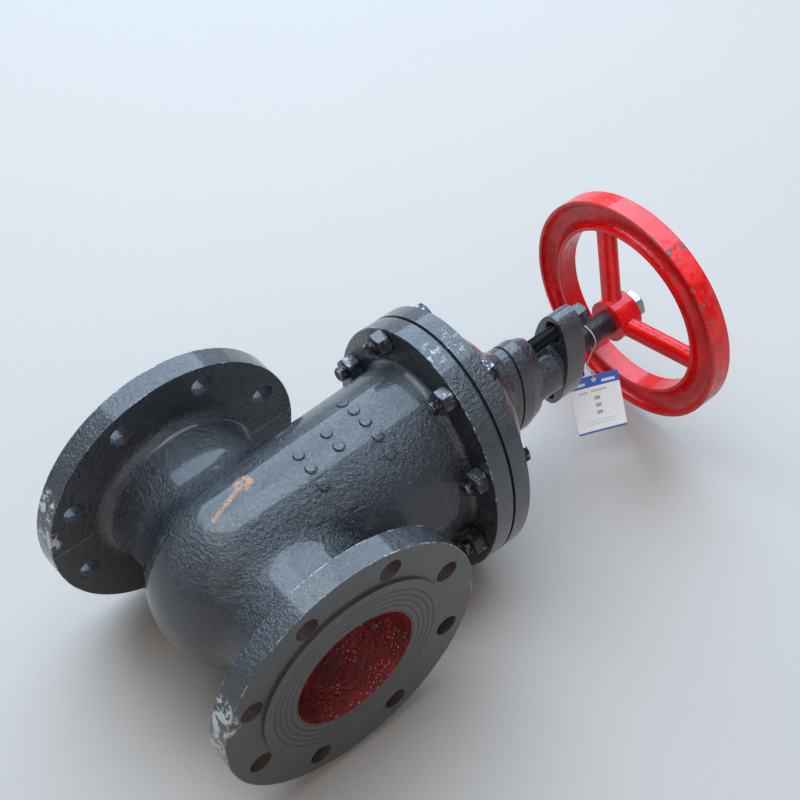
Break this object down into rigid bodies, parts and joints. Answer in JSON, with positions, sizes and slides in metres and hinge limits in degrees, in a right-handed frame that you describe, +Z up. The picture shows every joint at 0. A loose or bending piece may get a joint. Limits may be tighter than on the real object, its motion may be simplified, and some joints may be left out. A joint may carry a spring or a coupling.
{
  "type": "flanged gate valve",
  "caption": "Flanged cast-iron wedge gate valve with a non-rising stem, bolted bonnet, packed gland and a red spoked handwheel.",
  "frame": {"origin": "where the axis of the flow bore meets the axis of the stem", "axes": "+X along the flow bore towards the flange nearer the camera, +Y along the stem towards the handwheel, +Z up with the valve lying on its side"},
  "size_m": [0.23, 0.4942, 0.231],
  "materials": {
    "black_enamel": "glossy black enamel over rough cast iron",
    "seat_brass": "machined",
    "gasket": "matt black sheet gasket",
    "dark_steel": "painted over and oily, bright on the thread crests",
    "packing": "graphite rope",
    "wedge_iron": "as cast, dark",
    "stem_steel": "steel painted black",
    "red_enamel": "glossy red enamel over rough cast iron, worn at the rim",
    "bright_steel": "bright zinc",
    "card": "satin printed card",
    "tie": "thin pale cord"
  },
  "bodies": {
    "valve": {"body": "black_enamel", "seat_ring_inlet": "seat_brass", "seat_ring_outlet": "seat_brass", "joint_gasket": "gasket", "bonnet": "black_enamel", "joint_bolts_set": "dark_steel", "joint_nuts_set": "dark_steel", "foot_gasket": "gasket", "stuffing_box": "black_enamel", "thrust_washer_lower": "seat_brass", "thrust_washer_upper": "seat_brass", "packing_rings": "packing", "gland": "black_enamel", "gland_stud_upper": "dark_steel", "gland_stud_lower": "dark_steel", "gland_washer_upper": "dark_steel", "gland_washer_lower": "dark_steel", "gland_nut_upper": "dark_steel", "gland_nut_lower": "dark_steel"},
    "gate": {"wedge": "wedge_iron", "wedge_seal_inlet": "seat_brass", "wedge_seal_outlet": "seat_brass", "stem_nut": "seat_brass"},
    "spindle": {"stem": "stem_steel", "handwheel": "red_enamel", "wheel_washer": "bright_steel", "wheel_nut": "bright_steel"},
    "tag": {"tag_card": "card", "tag_tie": "tie"}
  },
  "joints": [
    {"name": "handwheel_turn", "type": "hinge", "parent": "valve", "child": "spindle", "pos_m": [0, 0.3, 0], "axis": [0, 1, 0], "range_deg": [-8050, 0]},
    {"name": "gate_slide", "type": "slide", "parent": "valve", "child": "gate", "axis": [0, 1, 0], "range_m": [-0.112, 0]},
    {"name": "tag_swing", "type": "hinge", "parent": "valve", "child": "tag", "pos_m": [0, 0.328, 0], "axis": [0, 1, 0], "range_deg": [-40, 40]}
  ],
  "couplings": [
    {"joint": "gate_slide", "follows": "handwheel_turn", "m_per_rad": 0.00079577}
  ]
}
